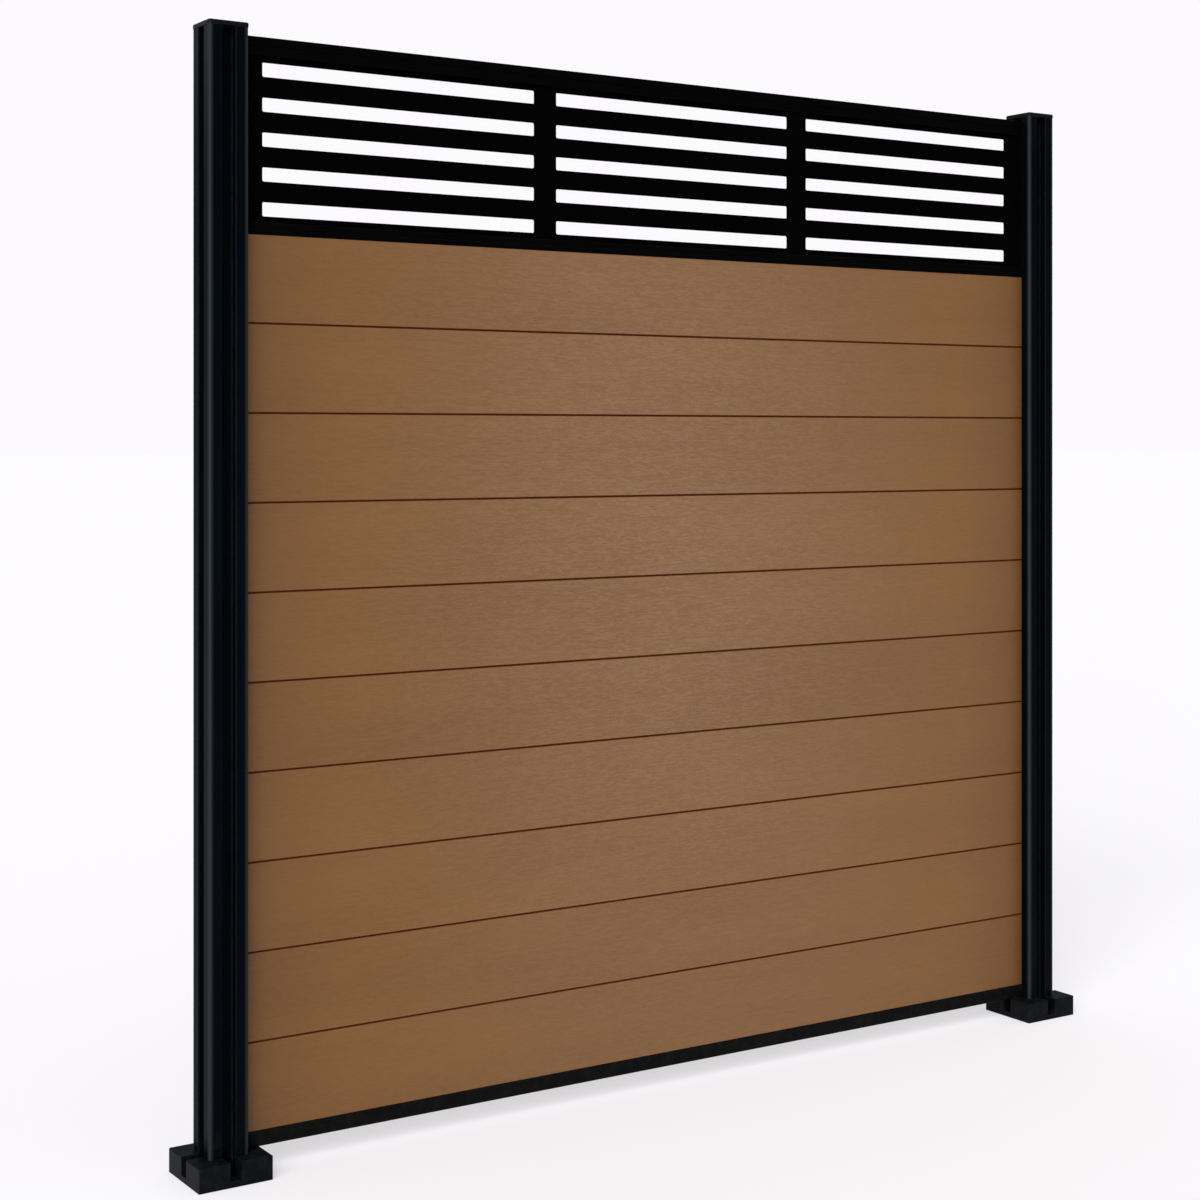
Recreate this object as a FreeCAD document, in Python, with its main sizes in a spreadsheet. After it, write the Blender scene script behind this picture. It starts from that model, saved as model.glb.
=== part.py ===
import FreeCAD, Part
import os

import Sketcher

# A fence bay: tongue-and-groove boards and a slotted screen, held between two channelled posts
# that stand in bolt-down bases. Millimetres; X runs along the fence, -Y is its front, +Z is up,
# and the origin is on the ground midway between the posts.

SIZES = {
    # Boards
    "board_length": 1800,
    "board_thickness": 20,
    "board_cover": 150,
    "board_wall": 4.5,
    "board_edge_bevel": 1,
    "chamber_bevel": 2,
    "shadow_gap": 3,
    "tongue_thickness": 7,
    "tongue_height": 8,
    # Posts
    "post_width": 70,
    "post_wall": 2,
    "post_corner_radius": 4,
    "post_reveal": 8.5,
    "core_bevel": 3,
    "channel_depth": 19,
    "channel_relief": 1,
    "channel_rib": 2.5,
    "channel_mouth_bevel": 0.8,
    "expansion_gap": 5,
    "port_radius": 2.1,
    "port_wall": 2.2,
    # Base blocks
    "base_rim": 30,
    "base_height": 40,
    "base_floor": 10,
    "base_bevel": 1.2,
    "notch_width": 21,
    "anchor_hole_radius": 5,
    "recess_margin": 1.5,
    # Caps
    "cap_thickness": 7.5,
    "cap_overhang": 0.8,
    "cap_bevel": 1.5,
    "cap_leg_length": 10,
    "cap_leg_wall": 2.5,
    # Rails and screen
    "rail_wall": 2,
    "rail_edge_bevel": 1,
    "rail_step": 3,
    "bottom_rail_height": 26,
    "joining_foot_height": 9,
    "top_rail_head": 13,
    "top_rail_skirt": 17,
    "top_rail_radius": 2.5,
    "screen_thickness": 3,
    "screen_insertion": 10,
    "screen_side_border": 53,
    "screen_border": 21,
    "screen_mullion": 46,
    "screen_bar": 34.5,
    "slot_height": 24,
    "slot_corner_radius": 3,
    # Base screws
    "base_screw_length": 35,
    "base_screw_head_radius": 4.6,
    "base_screw_head_height": 2.6,
    # Clearances
    "board_play": 2,
    "rail_play": 0.5,
    "fit_clearance": 0.3,
    "seat_clearance": 0.5,
    "slot_clearance": 0.2,
    "screw_clearance": 0.1,
    "cut_overrun": 1,
}

BOARD_COUNT = 10
BOARD_CHAMBERS = 4
SCREEN_COLUMNS = 3
SCREEN_ROWS = 5
POST_SIDES = 4
SIDES = {"left": -1, "right": 1}
HEXAGON_SHARES = ((1, 0), (0.5, 0.866), (-0.5, 0.866), (-1, 0), (-0.5, -0.866), (0.5, -0.866))


class Size:
    """A length that keeps the sheet expression it was worked out from."""

    def __init__(self, value, text):
        self.value = value
        self.text = text

    def __add__(self, other):
        return Size(self.value + value_of(other), f"({self.text} + {text_of(other)})")

    def __sub__(self, other):
        return Size(self.value - value_of(other), f"({self.text} - {text_of(other)})")

    def __mul__(self, count):
        return Size(self.value * value_of(count), f"({self.text} * {text_of(count)})")

    def __truediv__(self, count):
        return Size(self.value / value_of(count), f"({self.text} / {text_of(count)})")

    def __neg__(self):
        return Size(-self.value, f"(0 - {self.text})")


def value_of(length):
    return length.value if isinstance(length, Size) else float(length)


def text_of(length):
    return length.text if isinstance(length, Size) else str(length)


class Sheet:
    """The spreadsheet of driving sizes, each read by its alias."""

    def __init__(self, document, sizes):
        self.table = document.addObject("Spreadsheet::Sheet", "Sizes")
        for row, (alias, value) in enumerate(sizes.items(), start=1):
            self.table.set(f"A{row}", alias.replace("_", " "))
            self.table.set(f"B{row}", str(value))
            self.table.setAlias(f"B{row}", alias)
            setattr(self, alias, Size(float(value), f"Sizes.{alias}"))


doc = FreeCAD.newDocument("fence_bay")
size = Sheet(doc, SIZES)
doc.recompute()

# Widths that the boards, rails and posts share
insertion = size.channel_depth - size.expansion_gap
clear_half = size.board_length / 2 - insertion
post_half = size.post_width / 2
post_centre = clear_half + post_half
channel_half = size.board_thickness / 2 + size.board_play
channel_back = channel_half + size.channel_relief
channel_floor = post_half - size.channel_depth
rail_half = channel_half - size.rail_play
rail_neck = rail_half - size.rail_step
chamber_inner = channel_back + size.post_wall
chamber_outer = post_half - size.post_wall
column_bevel = size.post_corner_radius - size.post_wall
port_centre = chamber_inner + size.port_radius
port_block = port_centre + size.port_radius + size.port_wall
base_half = post_half + size.base_rim
anchor_circle = post_half + size.base_rim / 2
screw_radius = size.port_radius - size.screw_clearance
recess_depth = size.base_screw_head_height + size.seat_clearance
recess_half = port_centre + size.base_screw_head_radius + size.recess_margin

# Board joint: the tongue's tip carries the board above and leaves a shadow gap between the faces
groove_depth = size.tongue_height - size.shadow_gap
groove_half = size.tongue_thickness / 2 + size.seat_clearance
board_top = size.board_cover - size.shadow_gap

# Screen: rows and columns of slots inside an even border
slot_half = size.screen_thickness / 2 + size.slot_clearance
mullions = size.screen_mullion * (SCREEN_COLUMNS - 1)
slot_length = (size.board_length - size.screen_side_border * 2 - mullions) / SCREEN_COLUMNS
screen_height = size.screen_border * 2 + size.slot_height * SCREEN_ROWS + size.screen_bar * (SCREEN_ROWS - 1)

# Heights, from the ground up
boards_foot = size.base_height + size.bottom_rail_height
joining_foot = boards_foot + size.board_cover * BOARD_COUNT - size.shadow_gap
joining_groove = size.tongue_height + size.seat_clearance
joining_height = joining_groove + size.rail_wall + size.screen_insertion
screen_foot = joining_foot + joining_groove + size.rail_wall
edge_foot = joining_foot + joining_height
edge_length = screen_height - size.screen_insertion * 2
top_rail_foot = edge_foot + edge_length
top_rail_height = size.top_rail_skirt + size.top_rail_head
post_top = top_rail_foot + top_rail_height + size.post_reveal
post_length = post_top - size.base_floor


# Sketch and feature helpers


def origin_feature(body, role):
    """Returns one of the body's own origin planes or axes."""
    return next(item for item in body.Origin.OriginFeatures if item.Role == role)


def new_body(label):
    body = doc.addObject("PartDesign::Body", label)
    body.Label = label
    return body


def vector(point):
    return FreeCAD.Vector(value_of(point[0]), value_of(point[1]), 0)


def step_towards(corner, other, step):
    """Returns the point one step away from a square corner, along its side towards another corner."""
    run = value_of(other[0]) - value_of(corner[0])
    rise = value_of(other[1]) - value_of(corner[1])
    if abs(run) > abs(rise):
        return (step * (1 if run > 0 else -1) + corner[0], corner[1])
    return (corner[0], step * (1 if rise > 0 else -1) + corner[1])


def both_sides(points):
    """Returns the points followed by their mirror images, as one outline about the vertical axis."""
    return points + [(-point[0],) + point[1:] for point in reversed(points)]


class Drawing:
    """A sketch on one of a body's origin planes, with every dimension tied to the sheet."""

    START, END, CENTRE = range(1, 4)
    ORIGIN = (-1, START)

    def __init__(self, body, name, role, offset=(0, 0, 0)):
        self.body = body
        self.sketch = body.newObject("Sketcher::SketchObject", f"{body.Label}_{name}")
        self.sketch.AttachmentSupport = (origin_feature(body, role), [""])
        self.sketch.MapMode = "FlatFace"
        for axis, length in zip("xyz", offset):
            self.sketch.setExpression(f"AttachmentOffset.Base.{axis}", text_of(length))
        self.constraints = []
        self.expressions = {}

    def tie(self, kind, *reference, length):
        """Dimensions something by a length from the sheet."""
        self.expressions[len(self.constraints)] = text_of(length)
        self.constraints.append(Sketcher.Constraint(kind, *reference, value_of(length)))

    def join(self, first, first_end, second, second_end):
        self.constraints.append(Sketcher.Constraint("Coincident", first, first_end, second, second_end))

    def pin(self, geometry, position, point):
        """Dimensions one point from the sketch's origin."""
        self.tie("DistanceX", *self.ORIGIN, geometry, position, length=point[0])
        self.tie("DistanceY", *self.ORIGIN, geometry, position, length=point[1])

    def loop(self, corners, rounded=True):
        """Draws a closed outline; a square corner given with a third length is rounded or bevelled by it."""
        stations = []
        for index, corner in enumerate(corners):
            stations.append([corner])
            if len(corner) > 2:
                ahead = corners[(index + 1) % len(corners)]
                arrive = step_towards(corner, corners[index - 1], corner[2])
                leave = step_towards(corner, ahead, corner[2])
                stations[-1] = [arrive, leave]
        if not rounded:
            stations = [[point] for station in stations for point in station]
        lines = []
        for index, station in enumerate(stations):
            ahead = stations[(index + 1) % len(stations)]
            line = self.sketch.addGeometry(Part.LineSegment(vector(station[-1]), vector(ahead[0])))
            self.pin(line, self.START, station[-1])
            lines.append(line)
        for index, station in enumerate(stations):
            before, after = lines[index - 1], lines[index]
            if len(station) == 1:
                self.join(before, self.END, after, self.START)
            else:
                self.pin(before, self.END, station[0])
                self.corner_arc(corners[index], station, before, after)

    def corner_arc(self, corner, station, before, after):
        """Joins two lines with an arc tangent to both, whichever way the outline turns."""
        arrive, leave, sharp = vector(station[0]), vector(station[1]), vector(corner)
        centre = arrive + leave - sharp
        middle = centre + (sharp - centre).normalize() * value_of(corner[2])
        arc = self.sketch.addGeometry(Part.Arc(arrive, middle, leave))
        turns_left = (sharp - arrive).cross(leave - sharp).z > 0
        first, last = (self.START, self.END) if turns_left else (self.END, self.START)
        self.join(before, self.END, arc, first)
        self.join(arc, last, after, self.START)
        centre_x = station[0][0] + station[1][0] - corner[0]
        self.tie("DistanceX", *self.ORIGIN, arc, self.CENTRE, length=centre_x)

    def rectangle(self, low, high, corner=None, rounded=True):
        """Draws a rectangle between opposite corners, rounded or bevelled where a corner length is given."""
        extra = () if corner is None else (corner,)
        places = [(low[0], low[1]), (high[0], low[1]), (high[0], high[1]), (low[0], high[1])]
        self.loop([place + extra for place in places], rounded)

    def square(self, half, corner=None, rounded=True):
        self.rectangle((-half, -half), (half, half), corner, rounded)

    def hexagon(self, centre, radius):
        self.loop([(radius * run + centre[0], radius * rise + centre[1]) for run, rise in HEXAGON_SHARES])

    def circle(self, centre, radius):
        normal = FreeCAD.Vector(0, 0, 1)
        circle = self.sketch.addGeometry(Part.Circle(vector(centre), normal, value_of(radius)))
        self.pin(circle, self.CENTRE, centre)
        self.tie("Radius", circle, length=radius)

    def feature(self, kind):
        """Constrains the sketch and starts the feature that uses it, at the tip of the body."""
        self.sketch.addConstraint(self.constraints)
        for index, text in self.expressions.items():
            self.sketch.setExpression(f"Constraints[{index}]", text)
        feature = self.body.newObject(f"PartDesign::{kind}", f"{self.sketch.Name}_{kind.lower()}")
        feature.Profile = self.sketch
        self.body.Tip = feature
        return feature

    def pad(self, length, side_type="One side", flipped=False):
        feature = self.feature("Pad")
        feature.SideType = side_type
        feature.Reversed = flipped
        feature.setExpression("Length", text_of(length))
        return feature

    def cut_through(self, side_type="Symmetric"):
        """Cuts right through both ways, or upwards only where it is cut from one side."""
        feature = self.feature("Pocket")
        feature.SideType = side_type
        feature.Reversed = side_type == "One side"
        feature.Type = "ThroughAll"
        return feature

    def cut_up(self, length):
        feature = self.feature("Pocket")
        feature.Reversed = True
        feature.setExpression("Length", text_of(length))


def repeat_on_sides(body, features):
    """Repeats features on the four sides of a square piece."""
    pattern = body.newObject("PartDesign::PolarPattern", f"{body.Label}_sides")
    pattern.Originals = features
    pattern.Axis = (origin_feature(body, "Z_Axis"), [""])
    pattern.Angle = 360
    pattern.Occurrences = POST_SIDES
    body.Tip = pattern


def repeat_in_grid(body, feature, column_pitch, columns, row_pitch, rows):
    """Repeats a feature in columns along X and rows along Z."""
    pattern = body.newObject("PartDesign::LinearPattern", f"{body.Label}_grid")
    pattern.Originals = [feature]
    pattern.Direction = (origin_feature(body, "X_Axis"), [""])
    pattern.setExpression("Length", text_of(column_pitch * (columns - 1)))
    pattern.Occurrences = columns
    pattern.Direction2 = (origin_feature(body, "Z_Axis"), [""])
    pattern.setExpression("Length2", text_of(row_pitch * (rows - 1)))
    pattern.Occurrences2 = rows
    body.Tip = pattern


def bevel_top(body, feature, height, bevel):
    """Bevels the edges that lie in the top face of a padded block."""
    doc.recompute()
    names = []
    for index, edge in enumerate(feature.Shape.Edges, start=1):
        if edge.BoundBox.ZMin > value_of(height - bevel):
            names.append(f"Edge{index}")
    chamfer = body.newObject("PartDesign::Chamfer", f"{body.Label}_top_bevel")
    chamfer.Base = (feature, names)
    chamfer.setExpression("Size", text_of(bevel))
    body.Tip = chamfer


def clone(source, label):
    """Starts a body that repeats another body's shape."""
    body = new_body(label)
    shape = body.newObject("PartDesign::FeatureBase", f"{label}_shape")
    shape.BaseFeature = source
    body.Tip = shape
    return body


def place(body, x=0, z=0):
    body.setExpression("Placement.Base.x", text_of(x))
    body.setExpression("Placement.Base.z", text_of(z))
    return body


# Posts, bases and caps


def make_post(name, side):
    """One extrusion: a ribbed channel in each side, a hollow core and a hollow, ported corner column."""
    body = new_body(f"{name}_post")
    outline = Drawing(body, "outline", "XY_Plane")
    outline.square(post_half, size.post_corner_radius)
    outline.pad(post_length)

    core = Drawing(body, "core", "XY_Plane")
    core.square(channel_floor - size.post_wall, size.core_bevel, rounded=False)
    core.cut_through()

    mouth = -post_half
    channel = Drawing(body, "channel", "XY_Plane")
    channel.loop(both_sides([
        (channel_half + size.channel_mouth_bevel, mouth - size.cut_overrun),
        (channel_half + size.channel_mouth_bevel, mouth),
        (channel_half, mouth + size.channel_mouth_bevel),
        (channel_half, mouth + size.channel_rib),
        (channel_back, mouth + size.channel_rib),
        (channel_back, -channel_floor - size.channel_rib),
        (channel_half, -channel_floor - size.channel_rib),
        (channel_half, -channel_floor),
    ]))
    channel_cut = channel.cut_through()

    column = Drawing(body, "column", "XY_Plane")
    column.loop([
        (port_block, chamber_inner),
        (chamber_outer, chamber_inner),
        (chamber_outer, chamber_outer, column_bevel),
        (chamber_inner, chamber_outer),
        (chamber_inner, port_block),
        (port_block, port_block),
    ], rounded=False)
    column.circle((port_centre, port_centre), size.port_radius)
    repeat_on_sides(body, [channel_cut, column.cut_through()])
    return place(body, x=post_centre * side, z=size.base_floor)


def make_base(label):
    """A block with a socket for the post, an anchor notch in each side and a recess below for the screws."""
    body = new_body(label)
    block = Drawing(body, "block", "XY_Plane")
    block.square(base_half, size.base_bevel, rounded=False)
    bevel_top(body, block.pad(size.base_height), size.base_height, size.base_bevel)

    floor = (0, 0, size.base_floor)
    socket = Drawing(body, "socket", "XY_Plane", floor)
    socket.square(post_half + size.fit_clearance, size.post_corner_radius)
    socket.cut_through("One side")

    recess = Drawing(body, "recess", "XY_Plane")
    recess.square(recess_half)
    recess.cut_up(recess_depth)

    notch = Drawing(body, "notch", "XY_Plane", floor)
    notch_half = size.notch_width / 2
    notch.rectangle((post_half, -notch_half), (base_half + size.cut_overrun, notch_half))
    notch_cut = notch.cut_through("One side")

    holes = Drawing(body, "holes", "XY_Plane")
    holes.circle((anchor_circle, 0), size.anchor_hole_radius)
    holes.circle((port_centre, port_centre), screw_radius + size.fit_clearance)
    repeat_on_sides(body, [notch_cut, holes.cut_through()])
    return body


def make_base_screws(label):
    """Four hexagon-head screws, up through the base into the post's screw ports."""
    body = new_body(label)
    foot = (0, 0, size.seat_clearance)
    centre = (port_centre, port_centre)
    head = Drawing(body, "head", "XY_Plane", foot)
    head.hexagon(centre, size.base_screw_head_radius)
    head_pad = head.pad(size.base_screw_head_height)

    shank = Drawing(body, "shank", "XY_Plane", foot)
    shank.circle(centre, screw_radius)
    repeat_on_sides(body, [head_pad, shank.pad(size.base_screw_length)])
    return body


def make_cap(label):
    """A flat cap with four angled legs that push into the post's corner columns."""
    body = new_body(label)
    plate = Drawing(body, "plate", "XY_Plane")
    plate.square(post_half + size.cap_overhang, size.post_corner_radius + size.cap_overhang)
    bevel_top(body, plate.pad(size.cap_thickness), size.cap_thickness, size.cap_bevel)

    leg = Drawing(body, "leg", "XY_Plane")
    near = port_block + size.fit_clearance
    outer = chamber_outer - size.fit_clearance
    inner = outer - size.cap_leg_wall
    leg.loop([
        (inner, inner),
        (inner, near),
        (outer, near),
        (outer, outer, column_bevel),
        (near, outer),
        (near, inner),
    ], rounded=False)
    repeat_on_sides(body, [leg.pad(size.cap_leg_length, flipped=True)])
    return body


# Infill: rails, boards and the slotted screen


def make_bottom_rail():
    """A hollow rail across the bases, with a rib that stands in the lowest board's groove."""
    body = new_body("bottom_rail")
    top = size.bottom_rail_height
    rib_half = size.tongue_thickness / 2
    section = Drawing(body, "section", "YZ_Plane")
    section.loop(both_sides([
        (rail_half, 0, size.rail_edge_bevel),
        (rail_half, top, size.rail_edge_bevel),
        (rib_half, top),
        (rib_half, top + groove_depth - size.seat_clearance),
    ]), rounded=False)
    inside = rail_half - size.rail_wall
    section.rectangle((-inside, size.rail_wall), (inside, top - size.rail_wall))
    section.pad(size.board_length, "Symmetric")
    return place(body, z=size.base_height)


def make_board(label):
    """A hollow board with a tongue on top and a groove below, its face edges bevelled."""
    body = new_body(label)
    face = size.board_thickness / 2
    tongue = size.tongue_thickness / 2
    tip = board_top + size.tongue_height
    bevel = size.board_edge_bevel
    section = Drawing(body, "section", "YZ_Plane")
    section.loop(both_sides([
        (groove_half, groove_depth),
        (groove_half, 0),
        (face - bevel, 0),
        (face, bevel),
        (face, board_top - bevel),
        (face - bevel, board_top),
        (tongue, board_top),
        (tongue, tip - bevel),
        (tongue - bevel, tip),
    ]))
    inside = face - size.board_wall
    lowest = groove_depth + size.board_wall
    pitch = (board_top - lowest) / BOARD_CHAMBERS
    for index in range(BOARD_CHAMBERS):
        low = lowest + pitch * index
        high = low + pitch - size.board_wall
        section.rectangle((-inside, low), (inside, high), size.chamber_bevel, rounded=False)
    section.pad(size.board_length, "Symmetric")
    return body


def make_joining_rail():
    """The rail between boards and screen: a groove over the top tongue, a slot for the screen's foot."""
    body = new_body("screen_joining_rail")
    section = Drawing(body, "section", "YZ_Plane")
    section.loop(both_sides([
        (groove_half, joining_groove),
        (groove_half, 0),
        (rail_half, 0, size.rail_edge_bevel),
        (rail_half, size.joining_foot_height, size.rail_edge_bevel),
        (rail_neck, size.joining_foot_height),
        (rail_neck, joining_height, size.rail_edge_bevel),
        (slot_half, joining_height),
        (slot_half, joining_groove + size.rail_wall),
    ]), rounded=False)
    section.pad(size.board_length, "Symmetric")
    return place(body, z=joining_foot)


def make_screen():
    """A flat sheet cut through with rows and columns of long slots."""
    body = new_body("screen_panel")
    sheet = Drawing(body, "sheet", "XZ_Plane")
    half_length = size.board_length / 2
    sheet.rectangle((-half_length, 0), (half_length, screen_height))
    sheet.pad(size.screen_thickness, "Symmetric")

    slot = Drawing(body, "slot", "XZ_Plane")
    low = (-half_length + size.screen_side_border, size.screen_border)
    high = (low[0] + slot_length, low[1] + size.slot_height)
    slot.rectangle(low, high, size.slot_corner_radius)
    column_pitch = slot_length + size.screen_mullion
    row_pitch = size.slot_height + size.screen_bar
    repeat_in_grid(body, slot.cut_through(), column_pitch, SCREEN_COLUMNS, row_pitch, SCREEN_ROWS)
    return place(body, z=screen_foot)


def make_screen_edge(name, side):
    """An upright in the post's channel that holds the end of the screen between its two chambers."""
    body = new_body(f"{name}_screen_edge")
    slot_depth = insertion + size.seat_clearance
    back = slot_depth + size.rail_wall
    section = Drawing(body, "section", "XY_Plane")
    section.loop([
        (0, slot_half),
        (slot_depth * side, slot_half),
        (slot_depth * side, -slot_half),
        (0, -slot_half),
        (0, -rail_half),
        (back * side, -rail_half),
        (back * side, rail_half),
        (0, rail_half),
    ])
    for half in SIDES.values():
        low = (size.rail_wall * side, (slot_half + size.rail_wall) * half)
        high = ((back - size.rail_wall) * side, (rail_half - size.rail_wall) * half)
        section.rectangle(low, high)
    section.pad(edge_length)
    return place(body, x=clear_half * side, z=edge_foot)


def make_top_rail():
    """A hollow rail whose narrower skirt is slotted to take the screen's top edge."""
    body = new_body("top_rail")
    skirt = size.top_rail_skirt
    section = Drawing(body, "section", "YZ_Plane")
    section.loop(both_sides([
        (slot_half, size.screen_insertion + size.seat_clearance),
        (slot_half, 0),
        (rail_neck, 0),
        (rail_neck, skirt),
        (rail_half, skirt),
        (rail_half, top_rail_height, size.top_rail_radius),
    ]))
    inside = rail_half - size.rail_wall
    section.rectangle((-inside, skirt + size.rail_wall), (inside, top_rail_height - size.rail_wall))
    section.pad(size.board_length, "Symmetric")
    return place(body, z=top_rail_foot)


def make_parts():
    """Models each piece once, and the pieces that match it as clones."""
    parts = [make_bottom_rail(), make_joining_rail(), make_screen(), make_top_rail()]
    boards = [make_board("board_01")]
    for number in range(2, BOARD_COUNT + 1):
        boards.append(clone(boards[0], f"board_{number:02d}"))
    for index, board in enumerate(boards):
        place(board, z=boards_foot + size.board_cover * index)
    for name, side in SIDES.items():
        parts += [make_post(name, side), make_screen_edge(name, side)]
    pairs = (
        ("base", make_base, post_centre, 0),
        ("base_screws", make_base_screws, post_centre, 0),
        ("cap", make_cap, post_centre, post_top),
    )
    for piece, make, distance, height in pairs:
        left = make(f"left_{piece}")
        right = clone(left, f"right_{piece}")
        parts += [place(left, x=-distance, z=height), place(right, x=distance, z=height)]
    return parts + boards


def check(parts):
    """Stops before anything is written if a feature failed or a part has no sound solid."""
    for item in doc.Objects:
        if "Invalid" in item.State or "Error" in item.State:
            raise RuntimeError(f"{item.Label} failed: {item.State}")
    for body in parts:
        if body.Shape.isNull() or not body.Shape.isValid() or not body.Shape.Solids:
            raise RuntimeError(f"{body.Label} has no valid solid")


parts = make_parts()
doc.recompute()
check(parts)
os.makedirs("parts", exist_ok=True)
for body in parts:
    body.Shape.exportStep(f"parts/{body.Label}.step")
    print(body.Label, len(body.Shape.Solids), "solid(s)", round(body.Shape.Volume), "mm3")
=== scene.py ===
"""Looks of a composite fence panel: finishes of its pieces, rear rail screws, studio and camera."""

import logging
import math
from dataclasses import dataclass
from enum import Enum
from functools import cached_property
from typing import NamedTuple

import bmesh
import bpy
from mathutils import Matrix, Vector


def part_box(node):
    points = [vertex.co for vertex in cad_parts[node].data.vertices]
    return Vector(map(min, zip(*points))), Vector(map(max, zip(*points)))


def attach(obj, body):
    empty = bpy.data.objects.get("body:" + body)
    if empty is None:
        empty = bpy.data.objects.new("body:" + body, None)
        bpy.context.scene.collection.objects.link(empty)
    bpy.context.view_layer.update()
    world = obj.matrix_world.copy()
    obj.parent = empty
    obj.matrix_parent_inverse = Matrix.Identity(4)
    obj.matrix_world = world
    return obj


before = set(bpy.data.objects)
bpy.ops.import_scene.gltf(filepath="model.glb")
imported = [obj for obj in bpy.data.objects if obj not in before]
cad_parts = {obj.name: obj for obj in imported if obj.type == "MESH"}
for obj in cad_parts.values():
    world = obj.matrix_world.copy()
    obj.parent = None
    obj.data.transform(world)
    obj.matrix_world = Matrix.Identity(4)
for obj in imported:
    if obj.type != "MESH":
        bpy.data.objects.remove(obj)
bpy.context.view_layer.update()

LOG = logging.getLogger("fence_panel")

Colour = tuple[float, float, float]
Triple = tuple[float, float, float]
Feed = bpy.types.NodeSocket | float | tuple

BOARD_COUNT = 10


class Side(Enum):
    """The two ends of the panel, by the word that starts the names of their pieces."""

    LEFT = "left"
    RIGHT = "right"


class Run(Enum):
    """The way a piece was drawn through its die, as the stretch of its lines per metre."""

    UPRIGHT = (900.0, 900.0, 2.5)
    LENGTHWISE = (2.5, 900.0, 900.0)


def rgba(colour: Colour) -> tuple[float, float, float, float]:
    """Gives a colour its full alpha."""
    return (*colour, 1.0)


def both(piece: str) -> tuple[str, ...]:
    """Names the left and right node of a piece."""
    return tuple(f"{side.value}_{piece}" for side in Side)


BOARD_NODES = tuple(f"board_{number:02d}" for number in range(1, BOARD_COUNT + 1))
METAL_NODES = both("post") + both("base") + both("cap")


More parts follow.
